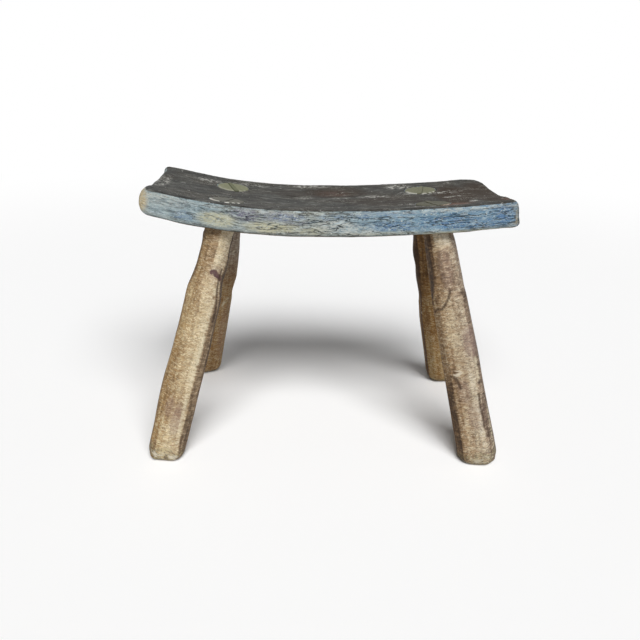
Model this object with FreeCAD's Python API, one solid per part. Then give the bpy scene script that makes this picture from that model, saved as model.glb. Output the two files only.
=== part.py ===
import FreeCAD
import Part

import math
import os

from FreeCAD import Placement, Rotation, Vector

# A low handmade stool of four splayed legs under one bent plank.
# The plank is hewn from a bent trunk, so it dips along its length and bends more on its left side.
# Sitting has worn a shallow dish into its top, which runs out through both ends.
# Each leg is a hewn bar of eight uneven sides, shaved to an eight-sided neck and then to a round tenon.
# The tapered tenon passes through the plank, and a kerf in it is spread and locked by a wooden wedge.
# The frame is +X to the right, +Y to the back and +Z up, with the floor at zero.
# Lengths are in millimetres.

# The plank.
seat_length = 430.0
seat_depth = 170.0
seat_thickness = 31.0
seat_edge_height = 297.0
left_bend_radius = 720.0
right_bend_radius = 1930.0
lowest_place_from_middle = 32.0
end_lean = 4.0
dish_depth = 4.0
dish_from_edge = 7.0

# The worn corners of the plank, seen from above, and its worn edges.
front_left_corner_radius = 13.0
front_right_corner_radius = 9.0
rear_left_corner_radius = 7.0
rear_right_corner_radius = 14.0
top_edge_radius = 5.0
bottom_edge_bevel = 3.0

# Where the legs stand, from leg centre to leg centre, as shares of the plank's length and depth.
tenon_spacing_along_share = 0.558
tenon_spacing_across_share = 0.541
feet_spacing_along_share = 0.893
feet_spacing_across_share = 1.341

# The hewn bars of the legs.
foot_width = 46.0
shoulder_width = 42.5
foot_edge_bevel = 6.0

# The shaved necks, which run out into the bars in a short scoop.
neck_side_count = 8
neck_length = 62.0
neck_width = 37.5
scoop_length = 40.0
scoop_width = 60.0

# The round tenons and the plank's mortises, tapered so that a wedge locks them from above.
tenon_width_below = 34.0
tenon_width_above = 40.0
round_length_below_seat = 9.0
tenon_proud = 0.4
mortise_clearance = 0.1

# The wedges and the kerfs that they fill.
wedge_length = 27.0
wedge_thick_end = 5.0
wedge_thin_end = 1.4
wedge_proud = 0.7
kerf_clearance = 0.1

# How far cutting shapes reach past what they cut.
overrun = 30.0

# No two hewn legs are alike. Their shares are of the common spacings, widths and lengths above: along X and
# then Y for a place, at the foot and then the shoulder for a bar's width, and in length and then width for
# a neck. Cut shares are of a bar's own width, for its front left, front right, rear right and rear left
# corners. Turns are in degrees about the leg, for its bar, its neck and its wedge.
LEGS = {
    "front_left": dict(
        sides=(-1, -1),
        foot_shares=(1.022, 1.017),
        tenon_shares=(0.996, 1.04),
        width_shares=(0.94, 1.00),
        foot_cut_shares=(0.15, 0.27, 0.22, 0.18),
        shoulder_cut_shares=(0.38, 0.14, 0.24, 0.20),
        neck_shares=(1.05, 0.94),
        turns=(10.0, 0.0, -9.0),
    ),
    "front_right": dict(
        sides=(1, -1),
        foot_shares=(1.00, 1.056),
        tenon_shares=(1.015, 1.02),
        width_shares=(1.06, 0.95),
        foot_cut_shares=(0.21, 0.26, 0.17, 0.22),
        shoulder_cut_shares=(0.20, 0.14, 0.21, 0.25),
        neck_shares=(1.05, 1.03),
        turns=(-16.0, -14.0, 7.0),
    ),
    "rear_left": dict(
        sides=(-1, 1),
        foot_shares=(0.955, 1.06),
        tenon_shares=(1.015, 0.96),
        width_shares=(0.92, 0.97),
        foot_cut_shares=(0.22, 0.18, 0.27, 0.20),
        shoulder_cut_shares=(0.17, 0.26, 0.21, 0.24),
        neck_shares=(1.08, 1.00),
        turns=(24.0, 12.0, 17.0),
    ),
    "rear_right": dict(
        sides=(1, 1),
        foot_shares=(1.004, 0.86),
        tenon_shares=(1.03, 0.98),
        width_shares=(0.94, 0.95),
        foot_cut_shares=(0.19, 0.24, 0.20, 0.26),
        shoulder_cut_shares=(0.26, 0.20, 0.23, 0.16),
        neck_shares=(1.25, 0.93),
        turns=(4.0, 27.0, -12.0),
    ),
}

ACROSS = Vector(0, 1, 0)
AXIS = Vector(0, 0, 1)
ORIGIN = Vector(0, 0, 0)

half_length = seat_length / 2
half_depth = seat_depth / 2
tenon_spacing_along = seat_length * tenon_spacing_along_share
tenon_spacing_across = seat_depth * tenon_spacing_across_share
feet_spacing_along = seat_length * feet_spacing_along_share
feet_spacing_across = seat_depth * feet_spacing_across_share
lowest_x = -lowest_place_from_middle
dish_half_width = half_depth - dish_from_edge
dish_radius = (dish_half_width**2 + dish_depth**2) / (2 * dish_depth)


def bend_radius(side):
    """The radius of the plank's top edge on the left (-1) or on the right (+1) of its lowest place."""
    return left_bend_radius if side < 0 else right_bend_radius


def drop_below_edge(y):
    """How far the dish lies below the plank's top edge, a distance y from the plank's long middle line."""
    within = min(abs(y), dish_half_width)
    return dish_depth - dish_radius + math.sqrt(dish_radius**2 - within**2)


def top_height(x, y):
    """Height of the worn top anywhere on the plank."""
    radius = bend_radius(x - lowest_x)
    reach = radius + drop_below_edge(y)
    return seat_edge_height + radius - math.sqrt(reach**2 - (x - lowest_x) ** 2)


def top_normal(x, y):
    """The upward direction square to the worn top, inside the dish."""
    radius = bend_radius(x - lowest_x)
    along = lowest_x - x
    across = -(radius + drop_below_edge(y)) * y / math.sqrt(dish_radius**2 - y**2)
    return Vector(along, across, seat_edge_height + radius - top_height(x, y)).normalize()


def bent_along_plank(section):
    """The solid that a section at the plank's lowest place makes when it follows the plank's two bends."""
    halves = []
    for side in (-1, 1):
        radius = bend_radius(side)
        centre = Vector(lowest_x, 0, seat_edge_height + radius)
        run = half_length + side * lowest_place_from_middle + overrun
        angle = math.degrees(math.asin(run / radius))
        halves.append(Part.Face(section).revolve(centre, ACROSS * -side, angle))
    return halves[0].fuse(halves[1]).removeSplitter()


def at_lowest_place(y, height):
    """A point of a section across the plank at its lowest place."""
    return Vector(lowest_x, y, height)


def plank_section():
    """The plank's plain section, before its edges and its top are worn."""
    low, high = seat_edge_height - seat_thickness, seat_edge_height
    corners = [(-half_depth, high), (half_depth, high), (half_depth, low), (-half_depth, low)]
    points = [at_lowest_place(y, height) for y, height in corners]
    return Part.makePolygon([*points, points[0]])


def worn_away():
    """What sitting has worn off the plank's top: a shallow dish that runs out through both ends."""
    left = at_lowest_place(-dish_half_width, seat_edge_height)
    middle = at_lowest_place(0, seat_edge_height - dish_depth)
    right = at_lowest_place(dish_half_width, seat_edge_height)
    up = AXIS * overrun
    dish = Part.Arc(left, middle, right).toShape()
    walls = Part.makePolygon([right, right + up, left + up, left]).Edges
    return bent_along_plank(Part.Wire([dish, *walls]))


def length_trim():
    """The block that gives the plank its length. Its ends lean out a little towards the bottom."""
    outline = []
    for side in (-1, 1):
        edge_height = top_height(side * half_length, half_depth)
        upper = Vector(side * (half_length - end_lean), -seat_depth, edge_height)
        down = Vector(side * end_lean, 0, -seat_thickness)
        end = [upper - down, upper + down + down]
        outline += end if side < 0 else reversed(end)
    return Part.Face(Part.makePolygon([*outline, outline[0]])).extrude(ACROSS * (2 * seat_depth))


def middle_of(edge):
    """The point halfway along an edge."""
    return edge.valueAt((edge.FirstParameter + edge.LastParameter) / 2)


def corner_edges(body, side_x, side_y):
    """The plank's upright edge at one of its four corners."""
    found = []
    for edge in body.Edges:
        middle = middle_of(edge)
        run = edge.Vertexes[-1].Point - edge.Vertexes[0].Point
        upright = abs(run.z) > seat_thickness / 2 and math.hypot(run.x, run.y) < seat_thickness / 2
        if upright and middle.x * side_x > 0 and middle.y * side_y > 0:
            found.append(edge)
    return found


def rim_edges(body, depth_below_edge):
    """The plank's edges that run round its rim, a depth below its top edge, without seams inside a face."""
    found = []
    for edge in body.Edges:
        middle = middle_of(edge)
        seam = abs(middle.x - lowest_x) < seat_thickness / 8 and abs(middle.y) < half_depth / 2
        depth = top_height(middle.x, half_depth) - middle.z
        if not seam and abs(depth - depth_below_edge) < seat_thickness / 4:
            found.append(edge)
    return found


def plank():
    """The bent plank with its worn corners, edges and top, before its mortises."""
    body = bent_along_plank(plank_section()).common(length_trim()).removeSplitter()
    corner_radii = {
        (-1, -1): front_left_corner_radius,
        (1, -1): front_right_corner_radius,
        (-1, 1): rear_left_corner_radius,
        (1, 1): rear_right_corner_radius,
    }
    for (side_x, side_y), radius in corner_radii.items():
        body = body.makeFillet(radius, corner_edges(body, side_x, side_y))
    body = body.makeFillet(top_edge_radius, rim_edges(body, 0))
    body = body.makeChamfer(bottom_edge_bevel, rim_edges(body, seat_thickness))
    return body.cut(worn_away())


def polygon_at(points, height):
    """A closed outline from points in the plane across a leg, at a height along its axis."""
    corners = [Vector(x, y, height) for x, y in points]
    return Part.makePolygon([*corners, corners[0]])


def hewn_outline(width, cut_shares, height):
    """A square bar's outline with its four corners hewn off, each by its own share of the width."""
    half = width / 2
    front_left, front_right, rear_right, rear_left = (half - width * share for share in cut_shares)
    points = [(-half, -front_left), (-front_left, -half), (front_right, -half), (half, -front_right)]
    points += [(half, rear_right), (rear_right, half), (-rear_left, half), (-half, rear_left)]
    return polygon_at(points, height)


def shaved_outline(width, height):
    """A ring of equal shaved sides, as wide across its flats as width."""
    step = 2 * math.pi / neck_side_count
    radius = width / 2 / math.cos(step / 2)
    turns = [i * step for i in range(neck_side_count)]
    return polygon_at([(radius * math.cos(turn), radius * math.sin(turn)) for turn in turns], height)


class Leg:
    """One leg, made upright on its own axis and then leant from its foot to its tenon's place."""

    def __init__(
        self,
        sides,
        foot_shares,
        tenon_shares,
        width_shares,
        foot_cut_shares,
        shoulder_cut_shares,
        neck_shares,
        turns,
    ):
        foot_x = sides[0] * feet_spacing_along / 2 * foot_shares[0]
        foot_y = sides[1] * feet_spacing_across / 2 * foot_shares[1]
        tenon_x = sides[0] * tenon_spacing_along / 2 * tenon_shares[0]
        tenon_y = sides[1] * tenon_spacing_across / 2 * tenon_shares[1]
        self.foot = Vector(foot_x, foot_y, 0)
        self.tenon_middle = Vector(tenon_x, tenon_y, top_height(tenon_x, tenon_y))
        self.top_normal = top_normal(tenon_x, tenon_y)
        reach = self.tenon_middle - self.foot
        axis = Vector(reach).normalize()
        self.leaning = Placement(self.foot, Rotation(Vector(1, 0, 0), ORIGIN, axis, "ZXY"))
        self.top = reach.Length
        underside = self.top - seat_thickness / axis.z
        self.round_start = underside - round_length_below_seat
        self.neck_start = underside - neck_length * neck_shares[0]
        self.neck_width = neck_width * neck_shares[1]
        self.scoop_start = self.neck_start - scoop_length
        self.foot_outline = (foot_width * width_shares[0], foot_cut_shares)
        self.shoulder_outline = (shoulder_width * width_shares[1], shoulder_cut_shares)
        self.bar_turn, self.neck_turn, self.wedge_turn = turns

    def lean(self, shape, turn):
        """Turns an upright shape about the leg's axis and leans it into the leg's place."""
        shape.rotate(ORIGIN, AXIS, turn)
        shape.Placement = self.leaning.multiply(shape.Placement)
        return shape

    def hewn_bar(self):
        """The eight-sided bar, whose sides change in width from the foot to the shoulder."""
        outlines = [
            hewn_outline(*self.foot_outline, -overrun),
            hewn_outline(*self.shoulder_outline, self.neck_start),
            hewn_outline(*self.shoulder_outline, self.round_start),
        ]
        return self.lean(Part.makeLoft(outlines, True, True), self.bar_turn)

    def shaving(self):
        """What the shaving leaves of a bar: all of it at first, then a short scoop and the long neck."""
        untouched = [shaved_outline(2 * scoop_width, height) for height in (-overrun, self.scoop_start)]
        shaved = [
            shaved_outline(scoop_width, self.scoop_start),
            shaved_outline(self.neck_width, self.neck_start),
            shaved_outline(tenon_width_below, self.round_start),
        ]
        left = Part.makeLoft(untouched, True, True).fuse(Part.makeLoft(shaved, True, True))
        return self.lean(left, self.neck_turn)

    def tenon(self, clearance):
        """The tapered round tenon, or with a clearance its mortise, from the neck to past the top."""
        length = self.top - self.round_start
        growth = (tenon_width_above - tenon_width_below) / length
        low = tenon_width_below / 2 + clearance
        high = low + growth / 2 * (length + overrun)
        return self.lean(Part.makeCone(low, high, length + overrun, AXIS * self.round_start), 0)

    def slip(self, clearance):
        """The tapered slip of the wedge, or with a clearance the kerf that it is driven into."""
        tip = self.top - wedge_length
        growth = (wedge_thick_end - wedge_thin_end) / wedge_length
        low = wedge_thin_end / 2 + clearance
        high = low + growth / 2 * (wedge_length + overrun)
        start, end = tip - clearance, tip + wedge_length + overrun
        side = tenon_width_above
        corners = [(-low, start), (low, start), (high, end), (-high, end), (-low, start)]
        outline = Part.makePolygon([Vector(x, -side, height) for x, height in corners])
        return self.lean(Part.Face(outline).extrude(ACROSS * (2 * side)), self.wedge_turn)

    def dressed_away(self, proud):
        """The space over a flat cut across the tenon, a little proud of the plank's worn top."""
        side = tenon_width_above + overrun
        block = Part.makeBox(2 * side, 2 * side, 2 * overrun, Vector(-side, -side, 0))
        middle = self.tenon_middle + self.top_normal * proud
        block.Placement = Placement(middle, Rotation(AXIS, self.top_normal))
        return block

    def body(self):
        """The whole leg: level and worn at the floor, and dressed and split for its wedge at the top."""
        leg = self.hewn_bar().common(self.shaving())
        floor = Part.makeBox(seat_length, seat_length, overrun + foot_width)
        floor.translate(self.foot - Vector(seat_length / 2, seat_length / 2, overrun + foot_width))
        leg = leg.cut(floor)
        foot_edges = [edge for edge in leg.Edges if edge.BoundBox.ZMax < mortise_clearance]
        leg = leg.makeChamfer(foot_edge_bevel, foot_edges)
        leg = leg.fuse(self.tenon(0)).removeSplitter()
        return leg.cut(self.dressed_away(tenon_proud)).cut(self.slip(kerf_clearance))

    def wedge(self):
        """The wedge that fills the kerf and stands slightly prouder than the tenon."""
        return self.slip(0).common(self.tenon(0)).cut(self.dressed_away(wedge_proud))


def build():
    """Every piece by its node name, with the middle of the whole stool's base at the origin."""
    pieces = {}
    seat = plank()
    for name, shape in LEGS.items():
        leg = Leg(**shape)
        seat = seat.cut(leg.tenon(mortise_clearance))
        pieces[f"leg_{name}"] = leg.body()
        pieces[f"wedge_{name}"] = leg.wedge()
    pieces["seat"] = seat
    box = Part.makeCompound(list(pieces.values())).optimalBoundingBox(False, False)
    to_middle = Vector(-box.Center.x, -box.Center.y, -box.ZMin)
    for shape in pieces.values():
        shape.translate(to_middle)
    return pieces


os.makedirs("parts", exist_ok=True)
for node, solid in build().items():
    solid.exportStep(f"parts/{node}.step")
    print(node, "valid:", solid.isValid(), "solids:", len(solid.Solids), "mm3:", round(solid.Volume))
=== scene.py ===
import math

import bmesh
import bpy
import numpy as np
from mathutils import Matrix, Vector


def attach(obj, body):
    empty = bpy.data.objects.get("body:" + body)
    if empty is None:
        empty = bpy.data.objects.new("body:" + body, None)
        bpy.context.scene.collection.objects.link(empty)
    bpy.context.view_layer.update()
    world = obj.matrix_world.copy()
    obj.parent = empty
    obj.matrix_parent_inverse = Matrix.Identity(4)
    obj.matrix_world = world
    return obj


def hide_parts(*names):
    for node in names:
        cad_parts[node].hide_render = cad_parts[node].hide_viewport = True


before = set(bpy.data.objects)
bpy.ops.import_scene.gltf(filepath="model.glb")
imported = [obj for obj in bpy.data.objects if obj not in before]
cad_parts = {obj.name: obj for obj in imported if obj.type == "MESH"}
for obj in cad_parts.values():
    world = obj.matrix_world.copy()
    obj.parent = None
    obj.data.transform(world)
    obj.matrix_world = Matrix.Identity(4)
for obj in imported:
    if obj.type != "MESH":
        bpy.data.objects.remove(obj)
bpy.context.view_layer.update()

# The looks of a low rustic stool: a bent plank with worn blue paint on its edges and a dark patina on its
# top, on four bare hewn legs whose wedged tenons show through the plank. Lengths are in metres.

MM = 0.001

# The plank's bends, as the maker laid them out, about the middle of the seat.
seat_middle = Vector((0.19, 1.30, 0)) * MM
seat_edge_height = 297 * MM
seat_thickness = 31 * MM
left_bend_radius = 720 * MM
right_bend_radius = 1930 * MM
lowest_along = -32 * MM
half_length = 215 * MM
dish_half_width = 78 * MM
dish_depth = 4 * MM

# Each leg's foot and tenon on the plank's own axes, along and then across, in millimetres.
LEGS = {
    "front_left": ((-196.2, -115.9), (-119.5, -47.8)),
    "front_right": ((192.0, -120.4), (121.8, -46.9)),
    "rear_left": ((-183.4, 120.8), (-121.8, 44.2)),
    "rear_right": ((192.8, 98.0), (123.6, 45.1)),
}

# How finely the pieces are meshed, and how far the worn edges are rounded.
seat_pitch = 1.5 * MM
leg_pitch = 1.05 * MM
merge_distance = 0.001 * MM
seat_rounding_rounds = 6
leg_rounding_rounds = 14
foot_rounding_rounds = 44
shoulder_rounding_rounds = 240
edge_finding_rounds = 24

# Where the rounding fades out, in millimetres: towards a mortise's middle, towards a tenon's end and up from
# a foot.
mortise_fade = (26, 20.5)
tenon_fade = (42, 34)
foot_fade = (8, 20)

# Where a scoop runs out softly into its bar, from and to in millimetres up the leg, and the blend's length.
SOFT_SHOULDERS = {"front_left": (158, 262), "rear_left": (158, 262), "rear_right": (150, 262)}
shoulder_blend = 12

# Where painted patches fade out, as shares of their reach: on the plank, on a leg and where a leg is fuller.
patch_fade = (1.25, 0.55)
mark_fade = (1.15, 0.60)
fullness_fade = (1.0, 0.0)


def colour(red, green, blue):
    """A colour given as it looks, 0 to 255, as the shader wants it."""
    shares = [value / 255 for value in (red, green, blue)]
    return (*[s / 12.92 if s <= 0.04045 else ((s + 0.055) / 1.055) ** 2.4 for s in shares], 1)


def rising(low, high, values):
    """0 at low, 1 at high and a smooth rise between them. Low may be the larger, for a fall."""
    share = np.clip((values - low) / (high - low), 0, 1)
    return share * share * (3 - 2 * share)


# Shapes


def top_edge_radius_at(along):
    return np.where(along < lowest_along, left_bend_radius, right_bend_radius)


def plank_places(points):
    """Points on the plank, straightened: along it, across it, and how deep below its top edge."""
    from_lowest = points[:, 0] - seat_middle.x - lowest_along
    radius = top_edge_radius_at(points[:, 0] - seat_middle.x)
    below_centre = seat_edge_height + radius - points[:, 2]
    along = lowest_along + np.arctan2(from_lowest, below_centre) * radius
    across = points[:, 1] - seat_middle.y
    return np.stack([along, across, np.hypot(from_lowest, below_centre) - radius], axis=1)


def top_height(along, across):
    """Height of the worn top at one place."""
    dish_radius = (dish_half_width**2 + dish_depth**2) / (2 * dish_depth)
    within = min(abs(across), dish_half_width)
    drop = dish_depth - dish_radius + math.sqrt(dish_radius**2 - within**2)
    radius = float(top_edge_radius_at(np.array(along)))
    return seat_edge_height + radius - math.sqrt((radius + drop) ** 2 - (along - lowest_along) ** 2)


class LegAxis:
    """A leg's own axis, from its foot to its tenon."""

    def __init__(self, name):
        (foot_along, foot_across), (along, across) = LEGS[name]
        self.foot = seat_middle + Vector((foot_along, foot_across, 0)) * MM
        self.tip = seat_middle + Vector((along * MM, across * MM, top_height(along * MM, across * MM)))
        self.up = (self.tip - self.foot).normalized()
        right = Vector((1, 0, 0))
        self.side = (right - self.up * right.dot(self.up)).normalized()
        self.back = self.up.cross(self.side)

    def places(self, points):
        """Points on a leg, on its own axes: to its side, to its back and up from its foot."""
        turned = np.array([self.side, self.back, self.up])
        return (points - np.array(self.foot)) @ turned.T


def points_of(mesh):
    flat = np.empty(len(mesh.vertices) * 3, np.float64)
    mesh.vertices.foreach_get("co", flat)
    return flat.reshape(-1, 3)


def normals_of(mesh):
    flat = np.empty(len(mesh.vertices) * 3, np.float64)
    mesh.vertices.foreach_get("normal", flat)
    return flat.reshape(-1, 3)


def set_points(mesh, points):
    mesh.vertices.foreach_set("co", points.ravel())
    mesh.update()


def edges_of(mesh):
    flat = np.empty(len(mesh.edges) * 2, np.int64)
    mesh.edges.foreach_get("vertices", flat)
    return flat.reshape(-1, 2)


def finely_meshed(node, pitch):
    """A piece of the frame, merged and meshed again in small even faces."""
    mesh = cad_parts[node].data.copy()
    mesh.materials.clear()
    merged = bmesh.new()
    merged.from_mesh(mesh)
    bmesh.ops.remove_doubles(merged, verts=merged.verts, dist=merge_distance)
    merged.to_mesh(mesh)
    merged.free()
    rough = bpy.data.objects.new("rough", mesh)
    bpy.context.scene.collection.objects.link(rough)
    even = rough.modifiers.new("even", "REMESH")
    even.mode = "VOXEL"
    even.voxel_size = pitch
    even.use_smooth_shade = True
    fine = bpy.data.meshes.new_from_object(rough.evaluated_get(bpy.context.evaluated_depsgraph_get()))
    bpy.data.objects.remove(rough)
    return fine


def relaxed(points, edges, rounds, held=None):
    """Each point moves towards the middle of its neighbours, which rounds off the edges."""
    count = len(points)
    ends = np.concatenate([edges[:, 0], edges[:, 1]])
    others = np.concatenate([edges[:, 1], edges[:, 0]])
    neighbours = np.bincount(ends, minlength=count)[:, None]
    share = 0.5 if held is None else 0.5 * (1 - held)[:, None]
    for _ in range(rounds):
        sums = [np.bincount(ends, weights=points[others, i], minlength=count) for i in range(3)]
        points = points + share * (np.stack(sums, axis=1) / neighbours - points)
    return points


def edge_share(points, edges, normals, reach):
    """1 on a sharp outer edge, 0 on a flat face."""
    sunk = relaxed(points, edges, edge_finding_rounds)
    return rising(0.15, 1.0, np.einsum("ij,ij->i", points - sunk, normals) / reach)


def paint_on(mesh, name, values):
    """Stores a value or a place for every point of a piece, for its finish to read."""
    kind = "FLOAT" if values.ndim == 1 else "FLOAT_VECTOR"
    layer = mesh.attributes.new(name, kind, "POINT")
    layer.data.foreach_set("value" if values.ndim == 1 else "vector", values.astype(np.float32).ravel())


def patches(first, second, places):
    """Soft-edged oval patches at (first, second, first reach, second reach, strength), in millimetres."""
    total = np.zeros(len(first))
    for at_first, at_second, reach_first, reach_second, strength in places:
        off_first = (first / MM - at_first) / reach_first
        off_second = (second / MM - at_second) / reach_second
        share = rising(*patch_fade, np.hypot(off_first, off_second))
        total = np.maximum(total, strength * share)
    return total


# Weathering, the same rule for the plank and the legs

WEATHER_SIZES = (
    "Hollow Depth", "Hollow Length", "Hollow Width",
    "Grain Depth", "Grain Length", "Grain Width",
    "Chip Depth", "Chip Size",
)

# These sizes for the plank and for a leg, in millimetres, and the seeds of their noise.
PLANK_WEATHER = (1.5, 60, 26, 0.55, 26, 3.5, 3.0, 9)
LEG_WEATHER = (1.2, 46, 15, 0.45, 30, 2.6, 4.0, 6)
plank_seed = 3
first_leg_seed = 11
chip_start = 0.02


def weathering():
    """The tree that weathers hewn wood: hollows left by the blade, raised grain and chipped edges."""
    tree = bpy.data.node_groups.new("weathered_wood", "GeometryNodeTree")
    face = tree.interface
    face.new_socket(name="Geometry", in_out="INPUT", socket_type="NodeSocketGeometry")
    for name in WEATHER_SIZES:
        face.new_socket(name=name, in_out="INPUT", socket_type="NodeSocketFloat")
    face.new_socket(name="Seed", in_out="INPUT", socket_type="NodeSocketFloat")
    face.new_socket(name="Finish", in_out="INPUT", socket_type="NodeSocketMaterial")
    face.new_socket(name="Geometry", in_out="OUTPUT", socket_type="NodeSocketGeometry")
    given = tree.nodes.new("NodeGroupInput").outputs
    result = tree.nodes.new("NodeGroupOutput")

    def node(kind, settings=None, **sockets):
        made = tree.nodes.new(kind)
        for key, value in (settings or {}).items():
            setattr(made, key, value)
        for key, value in sockets.items():
            socket = made.inputs[int(key[1:])] if key[0] == "_" else made.inputs[key]
            if isinstance(value, bpy.types.NodeSocket):
                tree.links.new(value, socket)
            else:
                socket.default_value = value
        return made

    def calc(operation, first, second):
        return node("ShaderNodeMath", {"operation": operation}, _0=first, _1=second).outputs[0]

    def stored(name, kind):
        return node("GeometryNodeInputNamedAttribute", {"data_type": kind}, Name=name).outputs[0]

    grain_place = stored("grain_place", "FLOAT_VECTOR")
    free = stored("free", "FLOAT")
    edge = stored("edge", "FLOAT")

    def noise(length, width, offset, detail):
        """Noise stretched along the grain, centred on zero."""
        sizes = node("ShaderNodeCombineXYZ", _0=length, _1=width, _2=width).outputs[0]
        place = node("ShaderNodeVectorMath", {"operation": "DIVIDE"}, _0=grain_place, _1=sizes).outputs[0]
        seed = calc("ADD", given["Seed"], offset)
        settings = {"noise_dimensions": "4D"}
        made = node("ShaderNodeTexNoise", settings, Vector=place, W=seed, Scale=1.0, Detail=detail)
        return calc("SUBTRACT", made.outputs[0], 0.5)

    hollow_noise = noise(given["Hollow Length"], given["Hollow Width"], offset=0.0, detail=1.0)
    hollows = calc("MULTIPLY", hollow_noise, given["Hollow Depth"])
    grain_noise = noise(given["Grain Length"], given["Grain Width"], offset=7.0, detail=3.0)
    grain = calc("MULTIPLY", grain_noise, given["Grain Depth"])
    chip_noise = noise(given["Chip Size"], given["Chip Size"], offset=13.0, detail=3.0)
    chips = calc("MINIMUM", calc("SUBTRACT", chip_start, chip_noise), 0.0)
    chips = calc("MULTIPLY", calc("MULTIPLY", chips, given["Chip Depth"]), edge)
    height = calc("MULTIPLY", calc("ADD", calc("ADD", hollows, grain), chips), free)
    outward = node("GeometryNodeInputNormal").outputs[0]
    offset = node("ShaderNodeVectorMath", {"operation": "SCALE"}, _0=outward, Scale=height).outputs[0]
    moved = node("GeometryNodeSetPosition", Geometry=given["Geometry"], Offset=offset).outputs[0]
    real = node("GeometryNodeRealizeInstances", Geometry=moved).outputs[0]
    finished = node("GeometryNodeSetMaterial", Geometry=real, Material=given["Finish"]).outputs[0]
    tree.links.new(finished, result.inputs["Geometry"])
    return tree


def weathered(name, mesh, tree, sizes, seed, finish):
    """A piece made of a fine mesh, weathered by the tree and turned back into a plain mesh."""
    rough = bpy.data.objects.new("rough", mesh)
    bpy.context.scene.collection.objects.link(rough)
    worn = rough.modifiers.new("weather", "NODES")
    worn.node_group = tree
    sockets = {
        item.name: item.identifier
        for item in tree.interface.items_tree
        if item.item_type == "SOCKET" and item.in_out == "INPUT"
    }
    for key, value in zip(WEATHER_SIZES, sizes):
        worn[sockets[key]] = value * MM
    worn[sockets["Seed"]] = float(seed)
    worn[sockets["Finish"]] = finish
    shape = bpy.data.meshes.new_from_object(rough.evaluated_get(bpy.context.evaluated_depsgraph_get()))
    bpy.data.objects.remove(rough)
    shape.name = name
    piece = bpy.data.objects.new(name, shape)
    bpy.context.scene.collection.objects.link(piece)
    for face in shape.polygons:
        face.use_smooth = True
    return piece


# Finishes


class Finish:
    """One finish, mixed from nodes. Its methods give back the socket that holds their result."""

    def __init__(self, name):
        self.material = bpy.data.materials.new(name)
        self.material.use_nodes = True
        self.tree = self.material.node_tree
        self.surface = self.tree.nodes["Principled BSDF"]

    def node(self, kind, settings=None, sockets=None):
        made = self.tree.nodes.new(kind)
        for key, value in (settings or {}).items():
            setattr(made, key, value)
        for key, value in (sockets or {}).items():
            self.feed(made.inputs[key], value)
        return made

    def feed(self, socket, value):
        if isinstance(value, bpy.types.NodeSocket):
            self.tree.links.new(value, socket)
        else:
            socket.default_value = value

    def stored(self, name, output="Fac"):
        return self.node("ShaderNodeAttribute", {"attribute_name": name}).outputs[output]

    def calc(self, operation, first, second):
        return self.node("ShaderNodeMath", {"operation": operation}, {0: first, 1: second}).outputs[0]

    def times(self, first, *others):
        for other in others:
            first = self.calc("MULTIPLY", first, other)
        return first

    def plus(self, first, *others):
        for other in others:
            first = self.calc("ADD", first, other)
        return first

    def rest(self, share):
        """What a share leaves of the whole."""
        return self.calc("SUBTRACT", 1.0, share)

    def about_zero(self, noise, swing):
        """Noise as a swing to both sides of zero."""
        return self.times(self.calc("SUBTRACT", noise, 0.5), swing)

    def noise(self, place, sizes, seed, detail=3.0, roughness=0.55, distortion=0.0):
        """Noise with lumps of these sizes in millimetres, about 0.5."""
        scale = [1 / (size * MM) for size in sizes]
        scaled = self.node("ShaderNodeVectorMath", {"operation": "MULTIPLY"}, {0: place, 1: scale})
        sockets = {
            "Vector": scaled.outputs[0], "W": float(seed), "Scale": 1.0, "Detail": detail,
            "Roughness": roughness, "Distortion": distortion,
        }
        return self.node("ShaderNodeTexNoise", {"noise_dimensions": "4D"}, sockets).outputs[0]

    def rising(self, low, high, value):
        sockets = {0: value, 1: low, 2: high}
        return self.node("ShaderNodeMapRange", {"interpolation_type": "SMOOTHSTEP"}, sockets).outputs[0]

    def ridges(self, value, width):
        """Thin lines where noise passes its middle."""
        off = self.calc("ABSOLUTE", self.calc("SUBTRACT", value, 0.5), 0.0)
        return self.rest(self.rising(0.0, width, off))

    def ramp(self, value, stops):
        """Colours along a value, from 0 to 1."""
        made = self.node("ShaderNodeValToRGB", None, {0: value})
        bar = made.color_ramp.elements
        bar[0].position, bar[0].color = stops[0]
        bar[1].position, bar[1].color = stops[-1]
        for position, shade in stops[1:-1]:
            bar.new(position).color = shade
        return made.outputs[0]

    def mix(self, share, below, above):
        """A colour laid over another by a share."""
        return self.node("ShaderNodeMix", {"data_type": "RGBA"}, {0: share, 6: below, 7: above}).outputs[2]

    def between(self, share, low, high):
        """A value between two others by a share."""
        return self.node("ShaderNodeMix", {"data_type": "FLOAT"}, {0: share, 2: low, 3: high}).outputs[0]

    def marked(self, below, name, texture, limits, shade, strength=1.0):
        """A colour laid over another where a mark is painted and a texture passes between its limits."""
        share = self.times(self.stored(name), self.rising(*limits, texture), strength)
        return self.mix(share, below, shade)

    def done(self, shade, roughness, height, depth, shine):
        """Gives the surface its colour, roughness, shine and a relief of a depth in millimetres."""
        self.feed(self.surface.inputs["Base Color"], shade)
        self.feed(self.surface.inputs["Roughness"], roughness)
        self.surface.inputs["Specular IOR Level"].default_value = shine
        bump = self.node("ShaderNodeBump", None, {"Height": height, "Strength": 1.0, "Distance": depth * MM})
        self.tree.links.new(bump.outputs[0], self.surface.inputs["Normal"])
        return self.material


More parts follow.
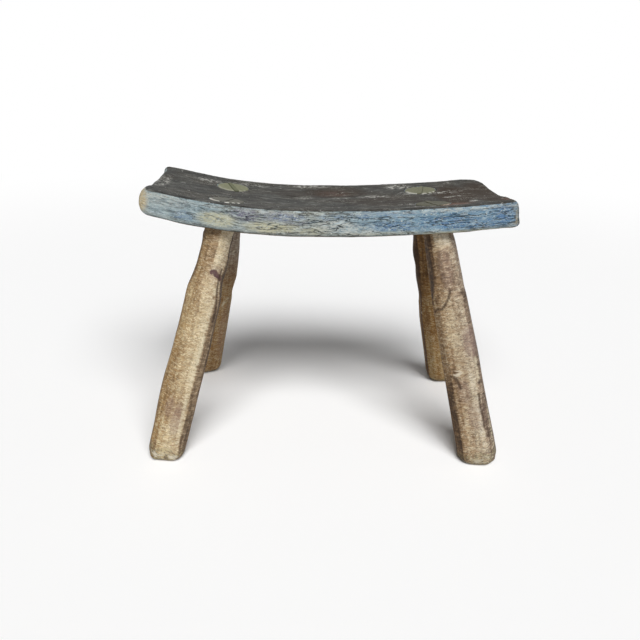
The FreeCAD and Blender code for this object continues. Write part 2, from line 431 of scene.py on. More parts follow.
# The paint's blue along the plank, from chalky grey blue on the left to full blue, and its deeper streaks.
PAINT_RUN = [
    (0.00, colour(148, 161, 161)), (0.18, colour(136, 153, 158)), (0.32, colour(151, 155, 149)),
    (0.48, colour(146, 152, 146)), (0.60, colour(128, 151, 162)), (0.78, colour(114, 144, 162)),
    (1.00, colour(96, 126, 150)),
]
DEEPER_RUN = [(0.10, colour(96, 110, 118)), (0.45, colour(84, 98, 106)), (0.75, colour(62, 92, 124))]
chalky_blue = colour(170, 184, 190)
worn_violet = colour(104, 102, 120)
full_blue = colour(82, 114, 154)
cream_ground = colour(180, 177, 150)
chalk_ground = colour(182, 184, 178)
pale_scuff = colour(190, 198, 196)
crack_grime = colour(42, 47, 48)
pale_fleck = colour(196, 200, 194)
dark_fleck = colour(66, 76, 84)
rim_grime_and_shade = colour(78, 76, 66)

# The dark patina of the plank's top, from its darkest streaks to its palest.
PATINA = [
    (0.34, colour(32, 32, 31)), (0.45, colour(57, 57, 55)), (0.55, colour(73, 73, 70)),
    (0.68, colour(118, 119, 114)),
]
brown_patina = colour(66, 60, 50)
rust_brown = colour(46, 35, 24)
ruddy_brown = colour(98, 72, 62)
pale_chip = colour(192, 191, 184)

# Wood: rubbed bare on the plank's corners, darker on its underside, and weathered on the legs.
RUBBED_WOOD = [(0.30, colour(142, 126, 98)), (0.50, colour(184, 170, 140)), (0.70, colour(208, 200, 174))]
UNDERSIDE_WOOD = [(0.28, colour(84, 72, 56)), (0.50, colour(118, 103, 80)), (0.72, colour(146, 130, 104))]
HEWN_WOOD = [
    (0.00, colour(58, 42, 28)), (0.22, colour(96, 73, 46)), (0.42, colour(150, 118, 76)),
    (0.60, colour(176, 148, 104)), (0.80, colour(208, 186, 142)), (1.00, colour(232, 218, 184)),
]
pale_curl = colour(232, 216, 178)
dark_crease = colour(78, 60, 42)
brown_speck = colour(90, 70, 48)
mauve_stain = colour(136, 114, 110)
knot_brown = colour(82, 54, 60)
foot_green = colour(122, 116, 80)
foot_mud = colour(80, 70, 56)
crack_and_shadow_brown = colour(66, 50, 38)
pale_edge_highlight = colour(214, 204, 176)
fresh_chip_and_light = colour(206, 196, 176)
pale_rim_highlight = colour(206, 204, 196)

paint_roughness = 0.80
worn_roughness = 0.66
paint_shine = 0.10
wood_shine = 0.22


def painted_edge(f, place, wander, streak, fine):
    """The plank's paint as its edges show it, and how deep each spot is cracked."""
    along = f.node("ShaderNodeSeparateXYZ", None, {0: place}).outputs[0]
    run = f.plus(f.times(along, 1 / (2 * half_length)), 0.5, f.about_zero(wander, 0.22))
    paint = f.ramp(run, PAINT_RUN)
    paint = f.mix(f.rising(0.50, 0.64, streak), paint, chalky_blue)
    paint = f.mix(f.rising(0.50, 0.34, streak), paint, f.ramp(run, DEEPER_RUN))
    paint = f.marked(paint, "violet_worn", fine, (0.42, 0.56), worn_violet)
    paint = f.marked(paint, "deep_blue", fine, (0.48, 0.54), full_blue, 0.85)
    cream = f.times(f.stored("cream_ground"), f.rising(0.28, 0.58, fine))
    paint = f.mix(cream, paint, cream_ground)
    paint = f.marked(paint, "chalk_ground", fine, (0.44, 0.56), chalk_ground)
    scuffs = f.ridges(f.noise(place, (13, 6, 2.8), 16, 4, 0.60, 1.0), 0.024)
    paint = f.mix(f.times(scuffs, 0.60), paint, pale_scuff)

    # Grime lies in the cracks, which run along the plank. The left end and the cream there have fewer.
    spoiled = f.rest(f.times(f.rising(0.24, 0.08, run), 0.4))
    sound = f.times(cream, f.rising(0.36, 0.28, run), 0.5)
    long_cracks = f.ridges(f.noise(place, (34, 8, 4.6), 5, 4, 0.56, 0.6), 0.036)
    long_cracks = f.times(long_cracks, f.rising(0.38, 0.50, wander))
    short_cracks = f.ridges(f.noise(place, (14, 6, 3.2), 15, 4, 0.58, 0.7), 0.034)
    short_cracks = f.times(short_cracks, f.rising(0.46, 0.58, streak))
    cracked = f.times(f.calc("MAXIMUM", long_cracks, short_cracks), spoiled, f.rest(sound))
    paint = f.mix(f.times(cracked, 0.95), paint, crack_grime)
    grit = f.noise(place, (2.6, 2.6, 2.0), 4, 3, 0.7)
    paint = f.mix(f.times(f.rising(0.60, 0.70, grit), spoiled), paint, pale_fleck)
    paint = f.mix(f.times(f.rising(0.40, 0.30, grit), spoiled, 0.6), paint, dark_fleck)
    return paint, cracked


def rubbed_top(f, place, streak):
    """The dark patina of the plank's top, with warmer spots, scratches and chips down to the light ground."""
    cloud = f.noise(place, (46, 22, 20), 8, 3)
    patina = f.ramp(streak, PATINA)
    patina = f.mix(f.times(f.rising(0.42, 0.62, cloud), 0.35), patina, brown_patina)
    patina = f.marked(patina, "warm_top", streak, (0.86, 0.52), rust_brown, 0.95)
    patina = f.marked(patina, "ruddy_top", streak, (0.36, 0.54), ruddy_brown, 0.8)
    scratches = f.ridges(f.noise(place, (26, 8, 8), 17, 5, 0.7, 0.6), 0.012)
    scratches = f.times(scratches, f.rising(0.50, 0.62, cloud), 0.7)
    scattered = f.rising(0.63, 0.67, f.noise(place, (7.0, 6.0, 5), 9, 4, 0.76))
    clustered = f.rising(0.50, 0.55, f.noise(place, (5.5, 4.5, 5), 10, 4, 0.76))
    chips = f.calc("MAXIMUM", scattered, f.times(clustered, f.stored("chipped_top")))
    chips = f.calc("MAXIMUM", chips, scratches)
    return f.mix(f.times(chips, 0.85), patina, pale_chip)


def plank_finish():
    """Worn blue paint on the edges with grime and painted shade on its rims, a dark rubbed patina on the top,
    and bare old wood underneath.
    """
    f = Finish("worn_painted_plank")
    place = f.stored("grain_place", "Vector")
    wander = f.noise(place, (34, 20, 9), 1, 4)
    streak = f.noise(place, (16, 7, 3.6), 2, 6, 0.70, 0.6)
    fine = f.noise(place, (6.0, 3.4, 2.2), 3, 5, 0.74, 0.4)
    top_streak = f.noise(place, (16, 7.0, 8), 7, 6, 0.74, 0.5)
    wood_tone = f.noise(place, (26, 3, 1.6), 6, 4, 0.6)
    paint, cracked = painted_edge(f, place, wander, streak, fine)
    paint = f.marked(paint, "rubbed_bare", fine, (0.30, 0.48), f.ramp(wood_tone, RUBBED_WOOD))
    paint = f.mix(f.times(f.stored("grimy_and_shaded_rim"), 0.85), paint, rim_grime_and_shade)
    drift = f.about_zero(fine, 0.9)
    top_share = f.rising(0.35, 0.65, f.plus(f.stored("on_top"), drift))
    under_share = f.rising(0.35, 0.65, f.plus(f.stored("on_underside"), drift))
    shade = f.mix(top_share, paint, rubbed_top(f, place, top_streak))
    shade = f.mix(under_share, shade, f.ramp(wood_tone, UNDERSIDE_WOOD))
    lengthwise = f.between(top_share, streak, top_streak)
    relief = f.plus(f.times(fine, 0.5), f.times(lengthwise, 0.5), f.times(cracked, -0.25))
    roughness = f.between(top_share, paint_roughness, worn_roughness)
    return f.done(shade, roughness, relief, 1.4, paint_shine)


def leg_finish(tenon_shade, creasing, hue, saturation, level):
    """Bare hewn wood, brown where hands and boots left it and cream on the rubbed faces, with painted shade
    and light.
    """
    f = Finish("weathered_hewn_wood")
    place = f.stored("grain_place", "Vector")
    cloud = f.noise(place, (34, 9, 9), 1, 4, 0.60, 0.4)
    grain = f.noise(place, (46, 3.4, 3.4), 2, 4, 0.60, 0.3)
    scales = f.noise(place, (3.4, 9.0, 9.0), 3, 3, 0.62, 0.8)
    specks = f.noise(place, (3.0, 3.0, 3.0), 4, 3, 0.7)
    curls = f.ridges(f.noise(place, (3.4, 9, 9), 5, 2, 0.60, 1.0), 0.052)
    creases = f.ridges(f.noise(place, (3.6, 9, 9), 6, 2, 0.60, 1.0), 0.040)
    drift = f.plus(f.about_zero(cloud, 0.6), f.about_zero(grain, 1.4), f.about_zero(scales, 1.0 + creasing))
    tone = f.plus(f.stored("tone"), drift)
    shade = f.ramp(f.plus(f.times(tone, 0.5), 0.5), HEWN_WOOD)
    shade = f.mix(f.times(curls, f.rising(-0.6, 0.3, tone), 0.80), shade, pale_curl)
    shade = f.mix(f.times(creases, 0.34 + 0.40 * creasing), shade, dark_crease)
    shade = f.mix(f.times(f.rising(0.40, 0.32, specks), 0.35), shade, brown_speck)
    strength = f.plus(f.stored("warmth"), saturation)
    worn = {"Hue": hue, "Saturation": strength, "Value": level, "Fac": 1.0, "Color": shade}
    shade = f.node("ShaderNodeHueSaturation", None, worn).outputs[0]

    # The stains, the dirt of the foot, the cracks with a painted shadow, the pale lines with painted
    # highlights and the chips with a patch of painted light, each where it is painted on the leg.
    shade = f.mix(f.times(f.stored("mauve"), 0.50), shade, mauve_stain)
    knot = f.rising(0.32, 0.95, f.plus(f.stored("knot"), f.about_zero(specks, 1.8)))
    shade = f.mix(f.times(knot, 0.90), shade, knot_brown)
    shade = f.marked(shade, "greened", scales, (0.40, 0.60), foot_green, 0.8)
    shade = f.marked(shade, "greened", specks, (0.52, 0.42), foot_mud, 0.75)
    shade = f.marked(shade, "crack_and_shadow", specks, (0.30, 0.50), crack_and_shadow_brown, 0.85)
    shade = f.marked(shade, "pale_line_highlight", scales, (0.36, 0.56), pale_edge_highlight, 0.55)
    shade = f.marked(shade, "chip_and_light", scales, (0.50, 0.60), fresh_chip_and_light)

    # The tenon's end shows its end grain, and a painted highlight along its front rim.
    pale_tenon = (*[min(1.35 * value, 1) for value in tenon_shade[:3]], 1)
    end_grain = f.mix(f.rising(0.35, 0.65, specks), tenon_shade, pale_tenon)
    shade = f.mix(f.stored("tenon_end"), shade, end_grain)
    shade = f.mix(f.stored("tenon_rim_highlight"), shade, pale_rim_highlight)
    flakes = f.times(f.calc("SUBTRACT", curls, creases), 0.15)
    relief = f.plus(f.times(scales, 0.5), f.times(grain, 0.35), flakes)
    return f.done(shade, worn_roughness, relief, 1.2, wood_shine)


def wedge_finish(dark, pale):
    """Stained end grain, mixed between a dark and a pale shade."""
    f = Finish("stained_wedge_wood")
    place = f.node("ShaderNodeTexCoord").outputs["Object"]
    grain = f.noise(place, (2.0, 2.0, 8.0), 1, 4, 0.6)
    shade = f.mix(f.rising(0.32, 0.68, grain), dark, pale)
    return f.done(shade, worn_roughness, grain, 0.5, wood_shine)


# Where the plank's edges are worn, and where shade is painted on them, in millimetres: along the plank, below
# its top edge, reaches, strength. The rim patches hold grime along the lower edge, painted shade down the
# right end and a thin painted shadow line down the left end.
EDGE_WEAR_AND_SHADE = {
    "cream_ground": [
        (-125, 18, 23, 9, 0.95), (-65, 21, 34, 6.5, 1.0), (-20, 23, 20, 5, 0.7), (60, 27, 60, 3, 0.5),
        (150, 29.5, 62, 2.4, 0.9),
    ],
    "chalk_ground": [
        (5, 18, 24, 9, 0.9), (-185, 7, 26, 8, 0.5), (30, 24, 24, 6, 0.8), (140, 3, 70, 3.5, 0.5),
    ],
    "deep_blue": [
        (-161, 20, 13, 6, 0.55), (-48, 8.5, 26, 4, 0.50), (3, 8, 18, 4, 0.7), (72, 19, 30, 6, 1.0),
        (50, 6, 46, 4, 0.5), (133, 17, 30, 8, 0.9), (195, 13, 11, 11, 0.8), (176, 22, 18, 5, 0.6),
    ],
    "violet_worn": [(-94, 9, 18, 8, 1.0), (-40, 14, 18, 4, 0.5), (-54, 8, 24, 6, 0.7)],
    "grimy_and_shaded_rim": [
        (-130, 31, 90, 2.6, 1.0), (10, 31, 90, 2.0, 0.8), (215, 15, 4.5, 17, 0.9), (-214, 28, 8, 5, 0.8),
        (-216, 16, 1.8, 18, 0.6),
    ],
}
LEFT_CORNER_BARE = [(-211, 15, 11, 15, 1.0)]
RIGHT_EDGE_BARE = [(209, 20, 2.0, 11, 0.45)]

# On the plank's top: along, across, reaches, strength.
TOP_WEAR = {
    "chipped_top": [
        (60, 18, 22, 8, 1.0), (97, 68, 18, 12, 1.0), (138, 24, 26, 7, 1.0), (156, -6, 14, 7, 1.0),
        (170, -50, 6, 7, 1.0), (-204, 4, 9, 34, 0.75), (-156, 58, 18, 9, 0.9), (-22, 76, 24, 6, 0.8),
        (20, 12, 16, 8, 0.4), (-100, 66, 30, 6, 0.6), (-60, -30, 20, 8, 0.2), (96, -44, 18, 6, 0.6),
        (110, 30, 20, 5, 0.9), (206, -20, 8, 30, 0.1), (120, -68, 40, 4, 0.7), (-30, 10, 14, 6, 0.6),
    ],
    "warm_top": [
        (10, 45, 46, 32, 0.75), (-45, 38, 26, 26, 0.4), (160, 4, 30, 60, 1.0), (196, 0, 26, 80, 0.9),
        (150, -42, 26, 18, 1.0), (80, -10, 60, 40, 0.45),
    ],
    "ruddy_top": [(142, -63, 24, 12, 1.0), (208, -58, 9, 12, 0.7), (8, 40, 22, 16, 0.35)],
}

# How far out the plank's corners lie, along and across, in millimetres.
corner_along, corner_across = 214, 84
seat_edge_reach = 1.4 * MM
edge_rubbing = 0.55


def shape_plank_edges(points):
    """The plank's ends, corners and edges as hewing and wear left them, from pushes in millimetres."""
    along, across, depth = plank_places(points).T / MM
    fullness = np.sin(np.clip(depth / (seat_thickness / MM), 0, 1) * math.pi)
    near_top = rising(22, 4, depth)
    near_bottom = rising(16, 29, depth)
    towards_front = rising(20, -60, across)

    def near_corner(end, side, reach):
        """1 at a corner, given as -1 or 1 for its end and its side, and 0 from its reach on."""
        away = np.hypot(along - end * corner_along, across - side * corner_across)
        return rising(1.0, 0.1, away / reach)

    # Both ends are rounded over, the left one more, and the lower right one is square in front.
    left_end = 5.0 * (1 - fullness) ** 1.6 * towards_front - 1.2 * fullness
    right_end = 2.0 * fullness * rising(196, 214, along)
    square = 2.5 * near_bottom * towards_front * rising(200, 213, along)
    drawn_out = near_corner(-1, 1, 26)
    sideways = left_end * rising(-196, -214, along) + right_end + square - 5.5 * drawn_out

    # The back edge is fuller and higher than the front one. Two corners and both ends' rims are worn lower.
    at_back = rising(68, 86, across)
    backwards = 4.0 * at_back + 2.0 * drawn_out
    from_worn_middle = np.abs(across - np.where(along < 0, -8, 16))
    worn_rims = rising(168, 212, np.abs(along)) * rising(60, 20, from_worn_middle)
    lowered = 2.2 * near_corner(1, 1, 34) + 1.6 * near_corner(-1, -1, 26) + 2.4 * worn_rims
    thin_left = rising(-160, -185, along) * rising(-210, -198, along)
    thin_right = rising(150, 175, along) * rising(208, 196, along)
    thinner = 1.2 * thin_left + 0.72 * thin_right
    upwards = (1.5 * at_back - lowered) * near_top + thinner * near_bottom
    return points + np.stack([sideways, backwards, upwards], axis=1) * MM


def make_seat(tree):
    mesh = finely_meshed("seat", seat_pitch)
    points, edges = points_of(mesh), edges_of(mesh)
    from_axes = [np.hypot(*LegAxis(name).places(points)[:, :2].T) / MM for name in LEGS]
    near_mortise = rising(*mortise_fade, np.min(from_axes, axis=0))
    points = relaxed(points, edges, seat_rounding_rounds, near_mortise)
    points = shape_plank_edges(points)
    set_points(mesh, points)
    normals = normals_of(mesh)
    place = plank_places(points)
    along, across, depth = place.T
    edge = edge_share(points, edges, normals, seat_edge_reach)
    tilt = np.arcsin(np.clip((along - lowest_along) / top_edge_radius_at(along), -1, 1))
    upright = normals[:, 2] * np.cos(tilt) - normals[:, 0] * np.sin(tilt)
    front = rising(0.2, 0.6, -normals[:, 1])
    paint_on(mesh, "grain_place", place)
    paint_on(mesh, "free", 1 - near_mortise)
    paint_on(mesh, "edge", edge)
    paint_on(mesh, "on_top", rising(0.60, 0.95, upright))
    paint_on(mesh, "on_underside", rising(0.60, 0.95, -upright))
    for name, places in EDGE_WEAR_AND_SHADE.items():
        only_front = front if name == "cream_ground" else 1
        paint_on(mesh, name, patches(along, depth, places) * only_front)
    for name, places in TOP_WEAR.items():
        paint_on(mesh, name, patches(along, across, places))
    bare = patches(along, depth, LEFT_CORNER_BARE) * rising(-56, -74, across / MM)
    bare = np.maximum(bare, patches(along, depth, RIGHT_EDGE_BARE) * front)
    rubbed = edge_rubbing * edge * rising(0.3, 0.9, 1 - np.abs(upright))
    paint_on(mesh, "rubbed_bare", np.maximum(bare, rubbed))
    seat = weathered("seat_plank", mesh, tree, PLANK_WEATHER, plank_seed, plank_finish())
    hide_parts("seat")
    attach(seat, "root")


# Tones painted on each leg's faces: turn about the leg and its reach in degrees, from and to up the leg in
# millimetres, and the tone, from dark (-1) to cream (1).
# Besides the wood's own tones these hold painted shade, darker on the side faces turned from the lamps, and
# painted light, the cream just under the plank on the front legs, against the plank's shadow.
TONES = {
    "front_left": [
        (-115, 24, -20, 300, -0.04), (-72, 26, -20, 290, 0.30), (-22, 16, 75, 190, -0.58),
        (-6, 18, 190, 246, -0.50), (-30, 20, -20, 75, -0.36), (-164, 18, 222, 320, -0.50),
        (-118, 30, 150, 215, 0.12), (-96, 20, 236, 300, -0.20), (-48, 22, 236, 292, 0.44),
        (0, 14, -20, 320, -0.75), (-112, 22, 52, 80, -0.20), (-70, 18, 46, 80, -0.10),
        (-62, 8, 78, 196, 0.48), (-44, 30, 254, 292, 0.50), (-98, 18, -20, 44, 0.45),
        (-72, 12, -20, 50, 0.32), (-140, 22, -10, 100, -0.20), (-40, 12, 60, 180, -0.30),
        (-40, 12, 196, 236, 0.12), (-98, 12, 84, 130, 0.22),
    ],
    "front_right": [
        (-150, 22, -20, 200, -0.06), (-92, 30, -20, 205, 0.28), (-44, 20, 96, 215, -0.42),
        (-38, 18, 215, 320, -0.10), (-38, 18, -20, 96, -0.12),
        (-150, 13, 224, 300, -0.62), (-172, 15, 190, 320, -0.55), (-164, 26, -20, 108, -0.58),
        (-92, 32, 222, 262, -0.20), (-120, 12, 234, 262, -0.30), (-58, 14, 222, 300, 0.04),
        (-92, 32, 268, 298, 1.00), (-6, 14, -20, 320, -0.55), (-126, 10, 70, 116, -0.20),
        (-104, 13, 24, 110, 0.16), (-116, 18, 152, 214, 0.34), (-56, 10, 176, 200, -0.20),
        (-48, 20, 24, 78, -0.56), (-52, 12, 100, 128, -0.20), (-80, 7, 30, 116, 0.75),
        (-100, 26, -4, 26, 0.32),
    ],
    "rear_left": [
        (-56, 26, -20, 160, -0.06), (-60, 34, 160, 320, -0.04), (-14, 18, -20, 150, 0.06),
        (-14, 18, 150, 320, -0.08), (22, 18, -20, 320, -0.36),
    ],
    "rear_right": [
        (-162, 18, -20, 320, -0.60), (-112, 34, -20, 100, 0.14), (-112, 34, 100, 158, -0.08),
        (-112, 34, 158, 320, -0.24), (-168, 26, 160, 320, -0.72),
    ],
}

# Dark cracks, one of them the painted shadow of a scar on the front right leg, and the pale edges that the
# drawknife left, partly light grey wood and partly painted highlights where they catch the light, from turn
# to turn in degrees and up the leg in millimetres.
CRACKS_AND_SHADOWS = {
    "front_right": [
        [(-158, 192), (-145, 195), (-132, 194), (-118, 200), (-106, 206), (-97, 214)],
        [(-70, 86), (-71, 70), (-69, 58), (-71, 45)],
        [(-136, 112), (-124, 108), (-117, 96)],
    ],
    "front_left": [[(-33, 238), (-37, 226), (-39, 204), (-38, 176)]],
}
PALE_HIGHLIGHT_LINES = {
    "front_left": [[(-50, 214), (-52, 170), (-55, 128), (-58, 96)], [(-62, 84), (-60, 56), (-57, 22)]],
    "front_right": [[(-44, 70), (-46, 40), (-50, 16)], [(-60, 130), (-62, 100)]],
    "rear_left": [[(-58, 138), (-50, 146), (-38, 150)], [(-40, 226), (-32, 232)]],
    "rear_right": [[(-160, 136), (-150, 132)]],
}
crack_and_shadow_width = 1.5
pale_line_width = 1.6
leg_radius = 21.0

# The tone of a leg where none is painted, how much paler its edges are, and how softly a painted tone ends,
# in degrees and in millimetres up the leg.
plain_tone = -0.12
edge_paleness = 0.22
turn_blend = 4
height_blend = 14

# Where a leg is fuller or slimmer than its bar: turn, reach in degrees, up, reach up, and how far in
# millimetres.
FULLNESS = {
    "front_left": [
        (-173, 62, 216, 28, 1.8), (-173, 60, 82, 70, 2.2), (-60, 50, 2, 26, 4.0), (-138, 44, 0, 26, -2.4),
        (-30, 50, 0, 18, 4.0), (2, 45, 243, 28, 2.2),
    ],
    "front_right": [
        (-13, 45, 200, 70, -1.4), (-13, 45, 60, 90, -2.2), (-125, 50, 4, 30, 3.6), (-46, 44, 0, 26, -3.0),
        (-175, 50, 0, 20, 3.0),
    ],
    "rear_left": [(2, 55, 236, 44, 2.8), (2, 55, 184, 34, 3.0), (2, 55, 216, 28, 2.0)],
    "rear_right": [(173, 50, 222, 34, 3.2), (173, 50, 150, 46, -2.6)],
}

# A slanting knot, drawn as the cracks are.
KNOTS = {"front_left": [[(-74, 233), (-62, 234)], [(-66, 233), (-46, 230), (-31, 227)]]}
knot_width = 3.3

# Marks: turn in degrees, up in millimetres, reach in degrees, reach up, strength.
MAUVES = {
    "front_left": [(-76, 52, 20, 22, 0.7), (-62, 233, 26, 10, 0.4), (-104, 66, 16, 14, 0.5)],
    "front_right": [
        (-66, 150, 24, 22, 0.8), (-108, 92, 20, 18, 0.4), (-98, 242, 26, 30, 0.4), (-86, 60, 30, 20, 0.4),
    ],
    "rear_left": [(-30, 92, 30, 60, 0.4)],
}
# Pale chips; the large one high on the front right leg is painted light against the plank's shadow.
CHIPS_AND_LIGHT = {
    "front_left": [(-86, 4, 60, 6, 0.8)],
    "front_right": [(-90, 4, 60, 5, 0.5), (-118, 114, 14, 5, 0.8), (-90, 280, 34, 14, 1.0)],
    "rear_left": [(-50, 146, 8, 3, 0.6)],
    "rear_right": [(-151, 134, 8, 4, 0.9)],
}

# How strongly each leg is creased, its hue, where lower than a half is redder, how strong its colour is and
# how light it is.
LEG_LOOKS = {
    "front_left": (0.3, 0.500, 0.90, 0.91),
    "front_right": (0.8, 0.495, 0.78, 0.78),
    "rear_left": (0.1, 0.493, 1.06, 0.79),
    "rear_right": (0.1, 0.492, 1.14, 0.67),
}

# How much stronger a leg's colour is on its left side than in front, and how much weaker by its neck.
LEFT_WARMTH = {"front_left": 0.13, "front_right": 0.18, "rear_left": 0.0, "rear_right": 0.0}
NECK_COOLNESS = {"front_left": 0.05, "front_right": 0.0, "rear_left": 0.46, "rear_right": 0.0}
neck_start = (160, 240)

# Each tenon's end: its shade, and how strong the painted highlight of the pale broken rim on its front is.
TENON_SHADES = {
    "front_left": colour(86, 85, 77),
    "front_right": colour(72, 71, 58),
    "rear_left": colour(108, 109, 86),
    "rear_right": colour(98, 98, 78),
}
RIM_HIGHLIGHT_STRENGTHS = {"front_left": 1.0, "front_right": 0.0, "rear_left": 0.25, "rear_right": 0.6}
rim_start = (16.5, 18.0)
rim_middle_turn = -100
rim_fade = (78, 62)
rim_broken_from_turn = -80
rim_pieces = 17

# Where a tenon's end face starts, down from its tip, and where a foot's dirt ends, in millimetres.
tenon_face = (5, 3)
foot_dirt = (20, 3)
leg_edge_reach = 1.0 * MM


def around(turns, middle):
    """How many degrees a turn lies from a middle one, the short way round."""
    return np.abs((turns - middle + 180) % 360 - 180)


def marks(turns, up, places):
    """Soft-edged oval marks on a leg's faces."""
    total = np.zeros(len(up))
    for turn, height, reach, reach_up, strength in places:
        distance = np.hypot(around(turns, turn) / reach, (up - height) / reach_up)
        total = np.maximum(total, strength * rising(*mark_fade, distance))
    return total


def fuller(turns, up, places):
    """How far each point of a leg stands out from its bar, in millimetres."""
    total = np.zeros(len(up))
    for turn, reach, height, reach_up, push in places:
        distance = np.hypot(around(turns, turn) / reach, (up - height) / reach_up)
        total += push * rising(*fullness_fade, distance)
    return total


def strokes(turns, up, lines, width):
    """1 on thin lines drawn through points on a leg."""
    across = np.radians(turns) * leg_radius
    nearest = np.full(len(up), np.inf)
    for line in lines:
        bends = [(math.radians(turn) * leg_radius, height) for turn, height in line]
        for (x0, y0), (x1, y1) in zip(bends, bends[1:]):
            run_x, run_y = x1 - x0, y1 - y0
            share = ((across - x0) * run_x + (up - y0) * run_y) / (run_x**2 + run_y**2)
            share = np.clip(share, 0, 1)
            off = np.hypot(across - x0 - share * run_x, up - y0 - share * run_y)
            nearest = np.minimum(nearest, off)
    return rising(width * 1.6, width * 0.4, nearest)


def painted_tone(name, turns, up):
    """The tones of a leg's faces, each painted over the ones before it."""
    tone = np.full(len(up), plain_tone)
    for turn, reach, low, high, value in TONES[name]:
        share = rising(reach + turn_blend, reach - turn_blend, around(turns, turn))
        share = share * rising(low - height_blend, low + height_blend, up)
        share = share * rising(high + height_blend, high - height_blend, up)
        tone = tone + share * (value - tone)
    return tone


def broken_rim(turns, from_middle):
    """1 on a ring of painted highlight at the edge of a tenon's end, whole on the left of its front and in
    pieces on the right.
    """
    ring = rising(*rim_start, from_middle) * rising(*rim_fade, around(turns, rim_middle_turn))
    pieces = rising(0.3, 0.7, 0.5 + 0.5 * np.sin(np.radians(turns) * rim_pieces))
    return ring * np.where(turns > rim_broken_from_turn, pieces, 1.0)


def shape_leg(name, axis, points, edges, in_mortise):
    """A leg's points with its edges, foot and shoulder rounded by wear and its bar as uneven as hewn."""
    up = axis.places(points)[:, 2] / MM
    points = relaxed(points, edges, leg_rounding_rounds, in_mortise)
    points = relaxed(points, edges, foot_rounding_rounds, rising(*foot_fade, up))
    if name in SOFT_SHOULDERS:
        low, high = SOFT_SHOULDERS[name]
        held = np.maximum(rising(low, low - shoulder_blend, up), rising(high, high + shoulder_blend, up))
        points = relaxed(points, edges, shoulder_rounding_rounds, held)
    side, back, up = axis.places(points).T / MM
    push = fuller(np.degrees(np.arctan2(back, side)), up, FULLNESS[name])
    push = push / np.maximum(np.hypot(side, back), 1)
    moved = points + np.outer(push * side * MM, axis.side) + np.outer(push * back * MM, axis.back)

    # The foot stays flat on the floor.
    on_floor = rising(8, 0.5, points[:, 2] / MM)
    moved[:, 2] += on_floor * (points[:, 2] - moved[:, 2])
    moved[:, 2] = np.maximum(moved[:, 2], 0)
    return moved


def make_leg(name, seed, tree):
    axis = LegAxis(name)
    mesh = finely_meshed(f"leg_{name}", leg_pitch)
    points, edges = points_of(mesh), edges_of(mesh)
    length = (axis.tip - axis.foot).length / MM
    in_mortise = rising(*tenon_fade, length - axis.places(points)[:, 2] / MM)
    points = shape_leg(name, axis, points, edges, in_mortise)
    set_points(mesh, points)
    place = axis.places(points)
    side, back, up = place.T / MM
    turns = np.degrees(np.arctan2(back, side))
    edge = edge_share(points, edges, normals_of(mesh), leg_edge_reach)
    end = rising(*tenon_face, length - up)
    rim = end * broken_rim(turns, np.hypot(side, back)) * RIM_HIGHLIGHT_STRENGTHS[name]
    warmer = -LEFT_WARMTH[name] * np.cos(np.radians(turns))
    cooler = NECK_COOLNESS[name] * rising(*neck_start, up)
    paint_on(mesh, "grain_place", place[:, [2, 0, 1]])
    paint_on(mesh, "free", (1 - in_mortise) * rising(0.4, 4, points[:, 2] / MM))
    paint_on(mesh, "edge", edge)
    paint_on(mesh, "tone", painted_tone(name, turns, up) + edge_paleness * edge)
    paint_on(mesh, "warmth", warmer - cooler)
    paint_on(mesh, "knot", strokes(turns, up, KNOTS.get(name, []), knot_width))
    paint_on(mesh, "mauve", marks(turns, up, MAUVES.get(name, [])))
    paint_on(mesh, "crack_and_shadow", strokes(turns, up, CRACKS_AND_SHADOWS.get(name, []), crack_and_shadow_width))
    paint_on(mesh, "pale_line_highlight", strokes(turns, up, PALE_HIGHLIGHT_LINES[name], pale_line_width))
    paint_on(mesh, "chip_and_light", marks(turns, up, CHIPS_AND_LIGHT[name]))
    paint_on(mesh, "greened", rising(*foot_dirt, up))
    paint_on(mesh, "tenon_end", end)
    paint_on(mesh, "tenon_rim_highlight", rim)
    finish = leg_finish(TENON_SHADES[name], *LEG_LOOKS[name])
    leg = weathered(f"leg_{name}_hewn", mesh, tree, LEG_WEATHER, seed, finish)
    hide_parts(f"leg_{name}")
    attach(leg, "root")


# Each wedge's dark and pale shade.
WEDGE_SHADES = {
    "front_left": (colour(78, 78, 72), colour(90, 90, 82)),
    "front_right": (colour(72, 71, 58), colour(86, 84, 68)),
    "rear_left": (colour(80, 84, 60), colour(98, 100, 76)),
    "rear_right": (colour(94, 94, 74), colour(110, 109, 88)),
}


def finish_wedges():
    for name, shades in WEDGE_SHADES.items():
        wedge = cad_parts[f"wedge_{name}"]
        wedge.data.materials.clear()
        wedge.data.materials.append(wedge_finish(*shades))


# The studio


# The floor's colour as it is seen and as it lights the stool, and the distances in metres between which it
# runs out into the white background.
seen_floor = (0.985, 0.985, 0.985, 1)
lighting_floor = (0.80, 0.80, 0.80, 1)
floor_end = (0.9, 2.4)
floor_half_width = 12.0
white = (1, 1, 1, 1)


def seen_rays(nodes, links):
    """1 for the rays that show the background: the camera's, and those seen in gloss and through glass."""
    rays = nodes.new("ShaderNodeLightPath").outputs
    seen = rays["Is Camera Ray"]
    for name in ("Is Glossy Ray", "Is Transmission Ray"):
        both = nodes.new("ShaderNodeMath")
        both.operation = "MAXIMUM"
        links.new(seen, both.inputs[0])
        links.new(rays[name], both.inputs[1])
        seen = both.outputs[0]
    return seen


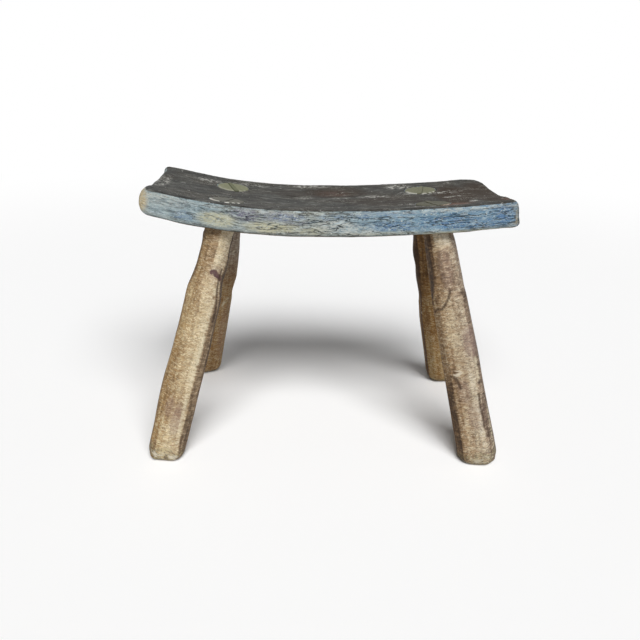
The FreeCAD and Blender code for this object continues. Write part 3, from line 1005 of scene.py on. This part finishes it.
def make_floor():
    """A plain pale floor that keeps the stool's shadow and runs out into a white background."""
    half = floor_half_width
    corners = [(-half, -half, 0), (half, -half, 0), (half, half, 0), (-half, half, 0)]
    mesh = bpy.data.meshes.new("floor")
    mesh.from_pydata(corners, [], [(0, 1, 2, 3)])
    floor = bpy.data.objects.new("floor", mesh)
    bpy.context.scene.collection.objects.link(floor)
    f = Finish("pale_floor")
    nodes, links = f.tree.nodes, f.tree.links
    nodes.remove(f.surface)
    seen = seen_rays(nodes, links)
    shade = f.mix(seen, lighting_floor, seen_floor)
    matt = f.node("ShaderNodeBsdfDiffuse", None, {"Color": shade}).outputs[0]
    glow = f.node("ShaderNodeEmission", None, {"Color": white, "Strength": 1.0}).outputs[0]
    place = f.node("ShaderNodeTexCoord").outputs["Object"]
    far = f.node("ShaderNodeVectorMath", {"operation": "LENGTH"}, {0: place}).outputs["Value"]
    share = f.times(f.rising(*floor_end, far), seen)
    both = f.node("ShaderNodeMixShader", None, {0: share, 1: matt, 2: glow}).outputs[0]
    links.new(both, nodes["Material Output"].inputs["Surface"])
    mesh.materials.append(f.material)


# How strongly the pale sky lights the stool.
sky_level = 0.08

# The lamps: level, softness, height and turn to the right of the front, in degrees.
LAMPS = {
    "left_light": (1.38, 30, 52, -6),
    "right_light": (1.38, 30, 49, 25),
    "broad_light": (0.90, 52, 44, 12),
}


def make_light():
    """Three soft lights from the front and above, and an even pale sky."""
    for name, (level, softness, height, turn) in LAMPS.items():
        lamp = bpy.data.lights.new(name, "SUN")
        lamp.energy = level
        lamp.angle = math.radians(softness)
        sun = bpy.data.objects.new(name, lamp)
        rise, swing = math.radians(height), math.radians(turn)
        flat = math.cos(rise)
        towards = Vector((math.sin(swing) * flat, -math.cos(swing) * flat, math.sin(rise)))
        sun.rotation_mode = "QUATERNION"
        sun.rotation_quaternion = towards.to_track_quat("Z", "Y")
        bpy.context.scene.collection.objects.link(sun)
    world = bpy.data.worlds.new("pale_sky")
    bpy.context.scene.world = world
    world.use_nodes = True
    nodes, links = world.node_tree.nodes, world.node_tree.links
    sky = nodes["Background"]
    sky.inputs["Color"].default_value = white
    sky.inputs["Strength"].default_value = sky_level
    backdrop = nodes.new("ShaderNodeBackground")
    backdrop.inputs["Color"].default_value = white
    backdrop.inputs["Strength"].default_value = 1.0
    both = nodes.new("ShaderNodeMixShader")
    links.new(seen_rays(nodes, links), both.inputs[0])
    links.new(sky.outputs[0], both.inputs[1])
    links.new(backdrop.outputs[0], both.inputs[2])
    links.new(both.outputs[0], nodes["World Output"].inputs["Surface"])


# The camera, fitted to the photograph: its place, how far in degrees it is turned right, down and about its
# own view, and its sensor and lens in millimetres.
camera_place = Vector((-33.25, -756.5, 432.9)) * MM
camera_turns = (2.10, 21.60, 1.53)
camera_sensor_width = 36
camera_lens = 34.14


def make_camera():
    """The photograph's point of view."""
    data = bpy.data.cameras.new("camera")
    data.sensor_width = camera_sensor_width
    data.lens = camera_lens
    camera = bpy.data.objects.new("camera", data)
    yaw, pitch, roll = (math.radians(turn) for turn in camera_turns)
    level = math.cos(pitch)
    forward = Vector((math.sin(yaw) * level, math.cos(yaw) * level, -math.sin(pitch)))
    right = Vector((math.cos(yaw), -math.sin(yaw), 0))
    up = right.cross(forward)
    across = right * math.cos(roll) + up * math.sin(roll)
    upward = up * math.cos(roll) - right * math.sin(roll)
    turned = Matrix((across, upward, -forward)).transposed().to_4x4()
    camera.matrix_world = Matrix.Translation(camera_place) @ turned
    bpy.context.scene.collection.objects.link(camera)
    bpy.context.scene.camera = camera


make_camera()
make_light()
make_floor()
weather = weathering()
make_seat(weather)
for seed, leg_name in enumerate(LEGS, start=first_leg_seed):
    make_leg(leg_name, seed, weather)
finish_wedges()

bpy.context.scene.view_settings.view_transform = "Standard"
